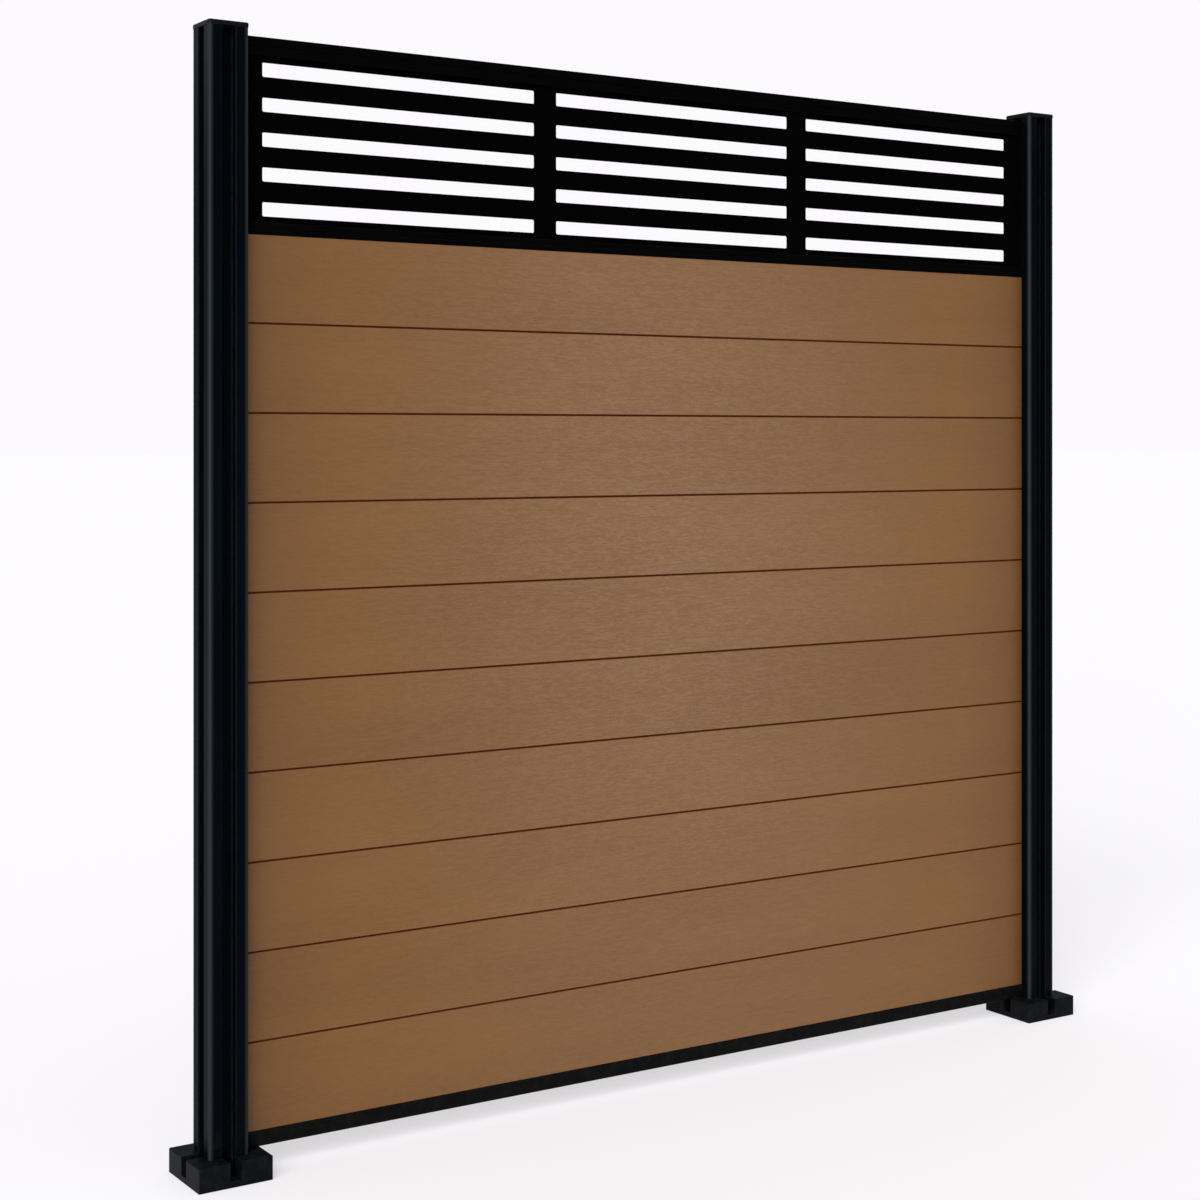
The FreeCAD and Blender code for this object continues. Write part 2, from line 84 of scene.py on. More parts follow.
class Wiring:
    """Adds and links the nodes of one shader tree."""

    MIX_SHARE = 0
    MIX_FIRST = 6
    MIX_SECOND = 7
    MIX_RESULT = 2

    def __init__(self, tree: bpy.types.NodeTree) -> None:
        """Keeps the node tree that is wired, of a material, a world or a group."""
        self.tree = tree

    def add(self, kind: str, **settings: object) -> bpy.types.Node:
        """Adds a node.

        Args:
            kind: Blender's name for the type of node.
            settings: the node's own properties.

        Returns:
            The new node.
        """
        node = self.tree.nodes.new(kind)
        for name, value in settings.items():
            setattr(node, name, value)
        return node

    def feed(self, socket: bpy.types.NodeSocket, value: Feed) -> None:
        """Links an output to an input, or sets the input's own value.

        Args:
            socket: the input.
            value: an output socket, or a plain value.
        """
        if isinstance(value, bpy.types.NodeSocket):
            self.tree.links.new(value, socket)
        else:
            socket.default_value = value

    def math(self, operation: str, *values: Feed) -> bpy.types.NodeSocket:
        """Adds a Math node.

        Args:
            operation: Blender's name for the sum.
            values: what goes into it.

        Returns:
            The result.
        """
        node = self.add("ShaderNodeMath", operation=operation)
        for socket, value in zip(node.inputs, values):
            self.feed(socket, value)
        return node.outputs[0]

    def ramp(
        self, value: Feed, low: float, high: float, start: float = 0.0, end: float = 1.0
    ) -> bpy.types.NodeSocket:
        """Maps a range of values smoothly onto another, and clamps it.

        Args:
            value: what is mapped.
            low: the value that becomes start.
            high: the value that becomes end.
            start: the result at low.
            end: the result at high.

        Returns:
            The mapped value.
        """
        node = self.add("ShaderNodeMapRange", interpolation_type="SMOOTHSTEP")
        for socket, given in zip(node.inputs, (value, low, high, start, end)):
            self.feed(socket, given)
        return node.outputs[0]

    def blend(self, share: Feed, first: Feed, second: Feed) -> bpy.types.NodeSocket:
        """Mixes two colours.

        Args:
            share: how much of the second colour shows.
            first: the colour at no share.
            second: the colour at full share.

        Returns:
            The mixed colour.
        """
        node = self.add("ShaderNodeMix", data_type="RGBA")
        self.feed(node.inputs[self.MIX_SHARE], share)
        self.feed(node.inputs[self.MIX_FIRST], first)
        self.feed(node.inputs[self.MIX_SECOND], second)
        return node.outputs[self.MIX_RESULT]

    def stretch(self, vector: Feed, scale: Feed) -> bpy.types.NodeSocket:
        """Multiplies a place by a scale on each axis.

        Args:
            vector: the place.
            scale: the three scales.

        Returns:
            The stretched place.
        """
        node = self.add("ShaderNodeVectorMath", operation="MULTIPLY")
        self.feed(node.inputs[0], vector)
        self.feed(node.inputs[1], scale)
        return node.outputs[0]

    def split(self, vector: Feed) -> bpy.types.bpy_prop_collection:
        """Takes a vector apart.

        Args:
            vector: the vector.

        Returns:
            Its X, Y and Z, by name.
        """
        node = self.add("ShaderNodeSeparateXYZ")
        self.feed(node.inputs[0], vector)
        return node.outputs

    def noise(
        self, vector: Feed, scale: Feed = 1.0, detail: float = 1.0, roughness: float = 0.5
    ) -> bpy.types.NodeSocket:
        """Adds a Noise texture.

        Args:
            vector: the place that is read.
            scale: how many features go into one unit.
            detail: octaves of finer noise.
            roughness: how strong the finer octaves are.

        Returns:
            The noise's value.
        """
        node = self.add("ShaderNodeTexNoise")
        self.feed(node.inputs["Vector"], vector)
        self.feed(node.inputs["Scale"], scale)
        self.feed(node.inputs["Detail"], detail)
        self.feed(node.inputs["Roughness"], roughness)
        return node.outputs["Fac"]

    def place(self) -> bpy.types.NodeSocket:
        """Returns the piece's own coordinates, in metres."""
        return self.add("ShaderNodeTexCoord").outputs["Object"]

    def normal(self) -> bpy.types.NodeSocket:
        """Returns the surface's normal."""
        return self.add("ShaderNodeNewGeometry").outputs["Normal"]

    def effect(self, group: bpy.types.NodeTree, **values: Feed) -> bpy.types.Node:
        """Places a shared effect in this tree.

        Args:
            group: the effect's node group.
            values: its inputs by name, with underscores for spaces.

        Returns:
            The group node.
        """
        node = self.add("ShaderNodeGroup", node_tree=group)
        for name, value in values.items():
            self.feed(node.inputs[name.replace("_", " ")], value)
        return node


@dataclass(frozen=True)
class Effects:
    """Shader node groups that several finishes share, each built once."""

    swells_per_grain: float = 0.22
    swell_height: float = 0.6
    mottles_per_metre: float = 7.0
    edge_start_cosine: float = 0.985
    edge_full_cosine: float = 0.80
    edge_breaks_per_metre: float = 90.0
    edge_least: float = 0.35
    splash_reach: float = 0.16
    splash_share: float = 0.45
    specks_per_metre: float = 60.0

    @staticmethod
    def start(
        name: str, inputs: dict[str, str], outputs: dict[str, str]
    ) -> tuple[Wiring, bpy.types.Node, bpy.types.Node]:
        """Starts a group with named sockets.

        Args:
            name: the group's name.
            inputs: socket types by input name.
            outputs: socket types by output name.

        Returns:
            The group's wiring, its input node and its output node.
        """
        tree = bpy.data.node_groups.new(name, "ShaderNodeTree")
        for side, sockets in (("INPUT", inputs), ("OUTPUT", outputs)):
            for label, kind in sockets.items():
                tree.interface.new_socket(name=label, in_out=side, socket_type=kind)
        wiring = Wiring(tree)
        return wiring, wiring.add("NodeGroupInput"), wiring.add("NodeGroupOutput")

    @cached_property
    def powder_peel(self) -> bpy.types.NodeTree:
        """Wires the orange peel of a sprayed or moulded skin: a fine height and a broad mottle.

        Returns:
            The group.
        """
        wiring, given, result = self.start(
            "powder_peel",
            {"Grains per metre": "NodeSocketFloat"},
            {"Height": "NodeSocketFloat", "Mottle": "NodeSocketFloat"},
        )
        place = wiring.place()
        grains = given.outputs["Grains per metre"]
        fine = wiring.noise(place, grains, detail=2.0, roughness=0.55)
        swell = wiring.noise(place, wiring.math("MULTIPLY", grains, self.swells_per_grain))
        height = wiring.math("MULTIPLY_ADD", swell, self.swell_height, fine)
        wiring.feed(result.inputs["Height"], height)
        broad = wiring.noise(place, self.mottles_per_metre, detail=4.0, roughness=0.6)
        wiring.feed(result.inputs["Mottle"], wiring.ramp(broad, low=0.3, high=0.7))
        return wiring.tree

    @cached_property
    def drawn_lines(self) -> bpy.types.NodeTree:
        """Wires the fine lines that a die or a brush leaves along a piece.

        Returns:
            The group.
        """
        wiring, given, result = self.start(
            "drawn_lines",
            {"Stretch": "NodeSocketVector"},
            {"Height": "NodeSocketFloat", "Streak": "NodeSocketFloat"},
        )
        place = wiring.stretch(wiring.place(), given.outputs["Stretch"])
        lines = wiring.noise(place, detail=3.0, roughness=0.6)
        wiring.feed(result.inputs["Height"], lines)
        wiring.feed(result.inputs["Streak"], wiring.ramp(lines, low=0.42, high=0.62))
        return wiring.tree

    @cached_property
    def worn_and_highlit_edges(self) -> bpy.types.NodeTree:
        """Wires the mask of edges that are partly worn and partly get a painted highlight, broken up
        along their length.

        Returns:
            The group.
        """
        wiring, given, result = self.start(
            "worn_and_highlit_edges", {"Width": "NodeSocketFloat"}, {"Mask": "NodeSocketFloat"}
        )
        bevel = wiring.add("ShaderNodeBevel", samples=6)
        wiring.feed(bevel.inputs["Radius"], given.outputs["Width"])
        turned = wiring.add("ShaderNodeVectorMath", operation="DOT_PRODUCT")
        wiring.feed(turned.inputs[0], bevel.outputs["Normal"])
        wiring.feed(turned.inputs[1], wiring.normal())
        cosine = turned.outputs["Value"]
        edge = wiring.ramp(cosine, self.edge_start_cosine, self.edge_full_cosine)
        breaks = wiring.noise(
            wiring.place(), self.edge_breaks_per_metre, detail=3.0, roughness=0.65
        )
        broken = wiring.ramp(breaks, low=0.3, high=0.7, start=self.edge_least)
        wiring.feed(result.inputs["Mask"], wiring.math("MULTIPLY", edge, broken))
        return wiring.tree

    @cached_property
    def settled_dust(self) -> bpy.types.NodeTree:
        """Wires the dust that lies on top faces and splashes up from the ground.

        Returns:
            The group.
        """
        wiring, given, result = self.start(
            "settled_dust", {"Amount": "NodeSocketFloat"}, {"Mask": "NodeSocketFloat"}
        )
        place = wiring.place()
        tops = wiring.ramp(wiring.split(wiring.normal())["Z"], low=0.5, high=0.95)
        above_ground = wiring.split(place)["Z"]
        splash = wiring.ramp(above_ground, self.splash_reach, 0.0, end=self.splash_share)
        scattered = wiring.noise(place, self.specks_per_metre, detail=6.0, roughness=0.7)
        specks = wiring.ramp(scattered, low=0.42, high=0.75)
        lying = wiring.math("MULTIPLY", wiring.math("MAXIMUM", tops, splash), specks)
        mask = wiring.math("MULTIPLY", lying, given.outputs["Amount"])
        wiring.feed(result.inputs["Mask"], mask)
        return wiring.tree


EFFECTS = Effects()


class Skin:
    """A material under way: its wiring and its Principled shader."""

    def __init__(self, name: str, **constants: float | tuple) -> None:
        """Starts the material.

        Args:
            name: the material's name.
            constants: the shader's inputs that are the same all over, with underscores for spaces.
        """
        self.material = bpy.data.materials.new(name)
        self.material.use_nodes = True
        self.wiring = Wiring(self.material.node_tree)
        self.shader = self.material.node_tree.nodes["Principled BSDF"]
        for socket, value in constants.items():
            self.shader.inputs[socket.replace("_", " ")].default_value = value

    def finish(
        self, colour: Feed, roughness: Feed, height: Feed, depth: float
    ) -> bpy.types.Material:
        """Feeds what varies over the surface into the shader.

        Args:
            colour: the base colour.
            roughness: the roughness.
            height: the bump's height, about 0 to 1.
            depth: how far that height stands out, in metres.

        Returns:
            The finished material.
        """
        bump = self.wiring.add("ShaderNodeBump")
        bump.inputs["Distance"].default_value = depth
        self.wiring.feed(bump.inputs["Height"], height)
        self.wiring.feed(self.shader.inputs["Base Color"], colour)
        self.wiring.feed(self.shader.inputs["Roughness"], roughness)
        self.wiring.feed(self.shader.inputs["Normal"], bump.outputs["Normal"])
        return self.material


@dataclass(frozen=True)
class CoatedMetal:
    """Black coat on metal, or a moulded skin like it: peel, die lines, paler edges (wear and painted
    highlight) and dust.
    """

    name: str
    colour: Colour
    mottle_colour: Colour
    # Colour of the paler edges: partly wear, partly a painted highlight.
    edge_wear_highlight_colour: Colour
    roughness: float
    grains_per_metre: float
    depth: float
    specular: float
    edge_share: float = 0.5
    edge_width: float = 0.0012
    sheen_tint: Colour = (1.0, 1.0, 1.0)
    run: Run | None = None
    line_height: float = 0.8
    streak_share: float = 0.45
    mottle_roughness: float = 0.08
    dust_amount: float = 0.05
    dust_colour: Colour = (0.19, 0.18, 0.165)
    dust_roughness: float = 0.9

    def paint_corner_highlight(self, wiring: Wiring, colour: Feed) -> Feed:
        """Leaves the colour as it is, because most pieces get no painted corner highlight."""
        return colour

    @cached_property
    def material(self) -> bpy.types.Material:
        """Wires the finish.

        Returns:
            The finish as a material.
        """
        skin = Skin(
            self.name, Specular_IOR_Level=self.specular, Specular_Tint=rgba(self.sheen_tint)
        )
        wiring = skin.wiring
        peel = wiring.effect(EFFECTS.powder_peel, Grains_per_metre=self.grains_per_metre)
        edges = wiring.effect(EFFECTS.worn_and_highlit_edges, Width=self.edge_width)
        dust = wiring.effect(EFFECTS.settled_dust, Amount=self.dust_amount).outputs["Mask"]
        height = peel.outputs["Height"]
        mottle = peel.outputs["Mottle"]
        if self.run is not None:
            lines = wiring.effect(EFFECTS.drawn_lines, Stretch=self.run.value)
            height = wiring.math("MULTIPLY_ADD", lines.outputs["Height"], self.line_height, height)
            mottle = wiring.math("MULTIPLY", mottle, 1.0 - self.streak_share)
            streak = lines.outputs["Streak"]
            mottle = wiring.math("MULTIPLY_ADD", streak, self.streak_share, mottle)

        colour = wiring.blend(mottle, rgba(self.colour), rgba(self.mottle_colour))
        # Paler edges: partly wear, partly a painted highlight where edges catch light.
        edge_wear_highlight = wiring.math("MULTIPLY", edges.outputs["Mask"], self.edge_share)
        colour = self.paint_corner_highlight(wiring, wiring.blend(edge_wear_highlight, colour, rgba(self.edge_wear_highlight_colour)))
        colour = wiring.blend(dust, colour, rgba(self.dust_colour))
        clean = wiring.math("MULTIPLY_ADD", mottle, self.mottle_roughness, self.roughness)
        dulled = wiring.math("MULTIPLY", dust, self.dust_roughness)
        return skin.finish(colour, wiring.math("ADD", clean, dulled), height, self.depth)


@dataclass(frozen=True)
class PostCoat(CoatedMetal):
    """Powder coat of the posts, with a painted highlight: a paler colour along their four outer
    corners.
    """

    post_x: float = 0.921
    half: float = 0.035
    corner_reach: float = 0.0090
    corner_full: float = 0.0010
    # Colour of the painted highlight along the post corners.
    corner_highlight_colour: Colour = (0.019, 0.022, 0.026)

    def paint_corner_highlight(self, wiring: Wiring, colour: Feed) -> Feed:
        """Paints a highlight along the outer corners, as a paler colour.

        Args:
            wiring: the material's wiring.
            colour: the colour so far.

        Returns:
            The colour with the painted corner highlights.
        """
        axes = wiring.split(wiring.place())
        from_panel = wiring.math("ABSOLUTE", axes["X"])
        across = wiring.math("ABSOLUTE", wiring.math("SUBTRACT", from_panel, self.post_x))
        deep = wiring.math("ABSOLUTE", axes["Y"])
        nearer = wiring.math("MINIMUM", across, deep)
        # Painted highlight: a paler colour near the outer corners stands in for light on the rounded
        # corners.
        corner = wiring.ramp(nearer, self.half - self.corner_reach, self.half - self.corner_full)
        return wiring.blend(corner, colour, rgba(self.corner_highlight_colour))


class BoardSpot(NamedTuple):
    """What a shader needs to know of a place on the boards."""

    place: bpy.types.NodeSocket
    chance: bpy.types.NodeSocket
    behind: bpy.types.NodeSocket
    post_shaded: bpy.types.NodeSocket


@dataclass(frozen=True)
class CompositeBoard:
    """Brushed wood-plastic composite: short strokes, fibres, and a shade that drifts by the board."""

    name: str
    dark: Colour
    middle: Colour
    light: Colour
    groove: Colour
    painted_post_shade: Colour
    dust_colour: Colour
    foot: float
    cover: float
    face: float
    face_margin: float
    groove_margin: float
    post_shade_from: float
    post_shade_to: float
    post_shade_share: float
    board_shift: float = 40.0
    strokes: Triple = (62.0, 260.0, 400.0)
    fibres: Triple = (9.0, 240.0, 300.0)
    brush_lines: Triple = (45.0, 1500.0, 2600.0)
    drifts: Triple = (1.3, 1.3, 6.0)
    flecks: Triple = (120.0, 700.0, 1100.0)
    stroke_share: float = 0.7
    grain_low: float = 0.40
    grain_high: float = 0.60
    drift_share: float = 0.25
    board_share: float = 0.12
    fleck_share: float = 0.35
    edge_width: float = 0.0030
    edge_share: float = 0.8
    dust_amount: float = 0.06
    dull: float = 0.47
    bright: float = 0.374
    brush_height: float = 0.5
    depth: float = 0.00021
    specular: float = 0.25
    anisotropy: float = 0.8
    anisotropy_turn: float = 0.25

    def spot(self, wiring: Wiring) -> BoardSpot:
        """Finds where a place lies, with the grain shifted so that no stroke crosses a joint.

        Args:
            wiring: the material's wiring.

        Returns:
            The shifted place, a random number for each board, how far the place lies behind the
            brushed face, and how much painted shade darkens it beside the posts.
        """
        axes = wiring.split(wiring.place())
        above_foot = wiring.math("SUBTRACT", axes["Z"], self.foot)
        chance = wiring.add("ShaderNodeTexWhiteNoise", noise_dimensions="1D")
        row = wiring.math("FLOOR", wiring.math("DIVIDE", above_foot, self.cover))
        wiring.feed(chance.inputs["W"], row)
        along = wiring.math("MULTIPLY_ADD", chance.outputs["Value"], self.board_shift, axes["X"])
        shifted = wiring.add("ShaderNodeCombineXYZ")
        wiring.feed(shifted.inputs["X"], along)
        wiring.feed(shifted.inputs["Y"], axes["Y"])
        wiring.feed(shifted.inputs["Z"], axes["Z"])
        deep = wiring.math("ABSOLUTE", axes["Y"])
        behind = wiring.ramp(deep, self.face - self.face_margin, self.face - self.groove_margin)
        # Painted shade: the boards grow darker towards both ends, beside the posts.
        from_middle = wiring.math("ABSOLUTE", axes["X"])
        post_shaded = wiring.ramp(from_middle, self.post_shade_from, self.post_shade_to, end=self.post_shade_share)
        return BoardSpot(shifted.outputs[0], chance.outputs["Value"], behind, post_shaded)

    def shade(self, wiring: Wiring, spot: BoardSpot, grain: Feed) -> Feed:
        """Colours the clean face.

        Args:
            wiring: the material's wiring.
            spot: the place on the boards.
            grain: strokes and fibres together.

        Returns:
            The colour.
        """
        grained = wiring.ramp(grain, self.grain_low, self.grain_high)
        colour = wiring.blend(grained, rgba(self.dark), rgba(self.middle))
        drift = wiring.noise(wiring.stretch(spot.place, self.drifts), detail=2.0)
        bloom = wiring.math("MULTIPLY", wiring.ramp(drift, low=0.3, high=0.75), self.drift_share)
        bloom = wiring.math("MULTIPLY_ADD", spot.chance, self.board_share, bloom)
        colour = wiring.blend(bloom, colour, rgba(self.light))
        specks = wiring.noise(wiring.stretch(spot.place, self.flecks))
        fleck = wiring.ramp(specks, low=0.70, high=0.80, end=self.fleck_share)
        return wiring.blend(fleck, colour, rgba(self.dark))

    def weather_and_painted_light(self, wiring: Wiring, spot: BoardSpot, colour: Feed) -> Feed:
        """Adds paler edges (wear and painted highlight), painted shade beside the posts, the raw
        grooves and dust.

        Args:
            wiring: the material's wiring.
            spot: the place on the boards.
            colour: the clean face's colour.

        Returns:
            The colour all over.
        """
        edges = wiring.effect(EFFECTS.worn_and_highlit_edges, Width=self.edge_width)
        # Paler board edges in the light colour: partly wear, partly a painted highlight beside the
        # seams.
        rubbed = wiring.math("MULTIPLY", edges.outputs["Mask"], self.edge_share)
        colour = wiring.blend(rubbed, colour, rgba(self.light))
        # Painted shade beside the posts.
        colour = wiring.blend(spot.post_shaded, colour, rgba(self.painted_post_shade))
        colour = wiring.blend(spot.behind, colour, rgba(self.groove))
        dust = wiring.effect(EFFECTS.settled_dust, Amount=self.dust_amount)
        return wiring.blend(dust.outputs["Mask"], colour, rgba(self.dust_colour))

    @cached_property
    def material(self) -> bpy.types.Material:
        """Wires the finish.

        Returns:
            The finish as a material.
        """
        skin = Skin(
            self.name,
            Specular_IOR_Level=self.specular,
            Anisotropic=self.anisotropy,
            Anisotropic_Rotation=self.anisotropy_turn,
        )
        wiring = skin.wiring
        spot = self.spot(wiring)
        strokes = wiring.noise(wiring.stretch(spot.place, self.strokes), detail=3.0, roughness=0.6)
        fibres = wiring.noise(wiring.stretch(spot.place, self.fibres), detail=4.0, roughness=0.65)
        brushed = wiring.noise(wiring.stretch(spot.place, self.brush_lines), detail=2.0)
        between = wiring.math("MULTIPLY", fibres, 1.0 - self.stroke_share)
        grain = wiring.math("MULTIPLY_ADD", strokes, self.stroke_share, between)

        colour = self.weather_and_painted_light(wiring, spot, self.shade(wiring, spot, grain))
        sheen = wiring.ramp(grain, self.grain_low, self.grain_high, self.dull, self.bright)
        roughness = wiring.math("MAXIMUM", sheen, spot.behind)
        height = wiring.math("MULTIPLY_ADD", brushed, self.brush_height, grain)
        return skin.finish(colour, roughness, height, self.depth)


@dataclass(frozen=True)
class BlackenedSteel:
    """Screws in black-coated steel, rubbed bright on their edges."""

    name: str
    colour: Colour
    edge_wear_highlight_colour: Colour
    grains_per_metre: float = 1800.0
    depth: float = 0.00004
    edge_width: float = 0.0004
    bright: float = 0.34
    dull: float = 0.5

    @cached_property
    def material(self) -> bpy.types.Material:
        """Wires the finish.

        Returns:
            The finish as a material.
        """
        skin = Skin(self.name, Metallic=1.0)
        wiring = skin.wiring
        peel = wiring.effect(EFFECTS.powder_peel, Grains_per_metre=self.grains_per_metre)
        height = peel.outputs["Height"]
        edges = wiring.effect(EFFECTS.worn_and_highlit_edges, Width=self.edge_width)
        colour = wiring.blend(edges.outputs["Mask"], rgba(self.colour), rgba(self.edge_wear_highlight_colour))
        roughness = wiring.ramp(height, low=0.4, high=1.2, start=self.bright, end=self.dull)
        return skin.finish(colour, roughness, height, self.depth)


BLUE_BLACK = (0.66, 0.86, 1.0)
POST_COAT = PostCoat(
    name="post_coat",
    colour=(0.0008, 0.0012, 0.0020),
    mottle_colour=(0.0014, 0.0019, 0.0028),
    edge_wear_highlight_colour=(0.020, 0.024, 0.028),
    roughness=0.38,
    grains_per_metre=1500.0,
    depth=0.00004,
    specular=0.02,
    edge_share=0.8,
    edge_width=0.0022,
    sheen_tint=BLUE_BLACK,
    run=Run.UPRIGHT,
)
# Painted shade: the upper rails take a darker copy of the bottom rail's black coat.
UPPER_RAIL_COAT = CoatedMetal(
    name="upper_rail_coat",
    colour=(0.0007, 0.0007, 0.0008),
    mottle_colour=(0.0013, 0.0013, 0.0013),
    edge_wear_highlight_colour=(0.008, 0.008, 0.0085),
    roughness=0.46,
    grains_per_metre=1500.0,
    depth=0.00005,
    specular=0.01,
    run=Run.LENGTHWISE,
)
# Painted light: the bottom rail takes a paler copy of the same black coat.
LOWER_RAIL_COAT = CoatedMetal(
    name="lower_rail_coat",
    colour=(0.0022, 0.0021, 0.0020),
    mottle_colour=(0.0036, 0.0035, 0.0033),
    edge_wear_highlight_colour=(0.012, 0.012, 0.0120),
    roughness=0.46,
    grains_per_metre=1500.0,
    depth=0.00005,
    specular=0.03,
    run=Run.LENGTHWISE,
)
SCREEN_COAT = CoatedMetal(
    name="screen_coat",
    colour=(0.0006, 0.0006, 0.0007),
    mottle_colour=(0.0011, 0.0011, 0.0012),
    edge_wear_highlight_colour=(0.005, 0.005, 0.0055),
    roughness=0.50,
    grains_per_metre=1700.0,
    depth=0.00004,
    specular=0.0,
    edge_share=0.35,
)
BASE_COAT = CoatedMetal(
    name="base_coat",
    colour=(0.0011, 0.0016, 0.0022),
    mottle_colour=(0.0022, 0.0028, 0.0035),
    edge_wear_highlight_colour=(0.018, 0.021, 0.024),
    roughness=0.46,
    grains_per_metre=650.0,
    depth=0.00012,
    specular=0.055,
    edge_share=0.75,
    sheen_tint=BLUE_BLACK,
)
CAP_PLASTIC = CoatedMetal(
    name="cap_plastic",
    colour=(0.0036, 0.0037, 0.0039),
    mottle_colour=(0.0052, 0.0053, 0.0055),
    edge_wear_highlight_colour=(0.018, 0.018, 0.019),
    roughness=0.44,
    grains_per_metre=1100.0,
    depth=0.00006,
    specular=0.04,
)
BOARD_FINISH = CompositeBoard(
    name="board_finish",
    dark=(0.1295, 0.0562, 0.0145),
    middle=(0.1445, 0.0627, 0.0161),
    light=(0.201, 0.0922, 0.0256),
    groove=(0.140, 0.028, 0.0005),
    # Colour of the painted shade beside the posts.
    painted_post_shade=(0.070, 0.028, 0.0070),
    dust_colour=(0.30, 0.27, 0.23),
    foot=0.066,
    cover=0.150,
    face=0.010,
    face_margin=0.0004,
    groove_margin=0.0012,
    # Where the painted shade beside the posts begins, where it is full, and how strong it is.
    post_shade_from=0.68,
    post_shade_to=0.90,
    post_shade_share=0.34,
)
SCREW_STEEL = BlackenedSteel(
    name="screw_steel", colour=(0.030, 0.031, 0.034), edge_wear_highlight_colour=(0.32, 0.32, 0.33)
)


@dataclass
class PackedPieces:
    """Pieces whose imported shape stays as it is, and the finish that they get."""

    name: str
    nodes: tuple[str, ...]
    finish: CoatedMetal | CompositeBoard | BlackenedSteel

    def dress(self) -> None:
        """Puts the finish on each piece."""
        for node in self.nodes:
            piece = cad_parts[node]
            for slot in piece.material_slots:
                slot.material = self.finish.material
            LOG.info("%s: %s in %s", self.name, node, self.finish.name)


@dataclass
class RailScrews:
    """Pan-head screws with a lobed socket, through each post's rear into the bottom and top rails."""

    head_radius: float = 0.0042
    foot_share: float = 0.94
    head_height: float = 0.0026
    wall_share: float = 0.35
    socket_radius: float = 0.0017
    socket_lobe: float = 0.0003
    socket_depth: float = 0.0016
    lobes: int = 6
    crown_steps: int = 7
    steps: int = 48
    inset: float = 0.0072
    bottom_rise: float = 0.013
    top_drop: float = 0.0065
    sharp_deg: float = 40.0

    def head(self) -> bmesh.types.BMesh:
        """Models one head, standing on the XY plane.

        Returns:
            The head's mesh.
        """
        mesh = bmesh.new()
        profile = [mesh.verts.new((self.head_radius * self.foot_share, 0.0, 0.0))]
        for step in range(self.crown_steps + 1):
            angle = math.radians(90.0 * step / self.crown_steps)
            reach = self.socket_radius + (self.head_radius - self.socket_radius) * math.cos(angle)
            crown = (1.0 - self.wall_share) * math.sin(angle)
            profile.append(mesh.verts.new((reach, 0.0, self.head_height * (self.wall_share + crown))))
        edges = [mesh.edges.new(pair) for pair in zip(profile, profile[1:])]
        bmesh.ops.spin(
            mesh,
            geom=profile + edges,
            cent=(0, 0, 0),
            axis=(0, 0, 1),
            angle=math.tau,
            steps=self.steps,
            use_merge=True,
        )
        self.sink_socket(mesh)
        open_rims = [edge for edge in mesh.edges if edge.is_boundary]
        bmesh.ops.holes_fill(mesh, edges=open_rims, sides=0)
        bmesh.ops.recalc_face_normals(mesh, faces=mesh.faces)
        return mesh

    def sink_socket(self, mesh: bmesh.types.BMesh) -> None:
        """Gives the hole in a head's crown its lobes, and its walls.

        Args:
            mesh: the head, still open at its foot and its crown.
        """
        half_way = self.head_height / 2.0
        open_edges = [edge for edge in mesh.edges if edge.is_boundary]
        rim = [edge for edge in open_edges if edge.verts[0].co.z > half_way]
        for vertex in {vertex for edge in rim for vertex in edge.verts}:
            turn = math.atan2(vertex.co.y, vertex.co.x)
            lobe = self.socket_lobe / self.socket_radius * math.cos(self.lobes * turn)
            vertex.co.xy *= 1.0 + lobe
        walls = bmesh.ops.extrude_edge_only(mesh, edges=rim)["geom"]
        sunk = [item for item in walls if isinstance(item, bmesh.types.BMVert)]
        bmesh.ops.translate(mesh, verts=sunk, vec=(0, 0, -self.socket_depth))

    def build(self, side: Side) -> bpy.types.Object:
        """Models both screws of one post.

        Args:
            side: the post's end of the panel.

        Returns:
            The finished piece, riding on the fence.
        """
        post_low, post_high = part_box(f"{side.value}_post")
        inner = post_high.x - self.inset if side is Side.LEFT else post_low.x + self.inset
        bottom_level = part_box("bottom_rail")[0].z + self.bottom_rise
        top_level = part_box("top_rail")[1].z - self.top_drop
        to_rear = Matrix.Rotation(math.radians(-90.0), 4, "X")
        whole = bmesh.new()
        data = bpy.data.meshes.new(f"{side.value}_rail_screws")
        for level in (bottom_level, top_level):
            head = self.head()
            place = Matrix.Translation((inner, post_high.y, level)) @ to_rear
            bmesh.ops.transform(head, matrix=place, verts=head.verts)
            head.to_mesh(data)
            head.free()
            whole.from_mesh(data)
        for face in whole.faces:
            face.smooth = True
        whole.to_mesh(data)
        whole.free()
        data.set_sharp_from_angle(angle=math.radians(self.sharp_deg))
        data.materials.append(SCREW_STEEL.material)
        piece = bpy.data.objects.new(data.name, data)
        bpy.context.scene.collection.objects.link(piece)
        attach(piece, "fence")
        LOG.info("rail screws: %s, %d faces", piece.name, len(data.polygons))
        return piece


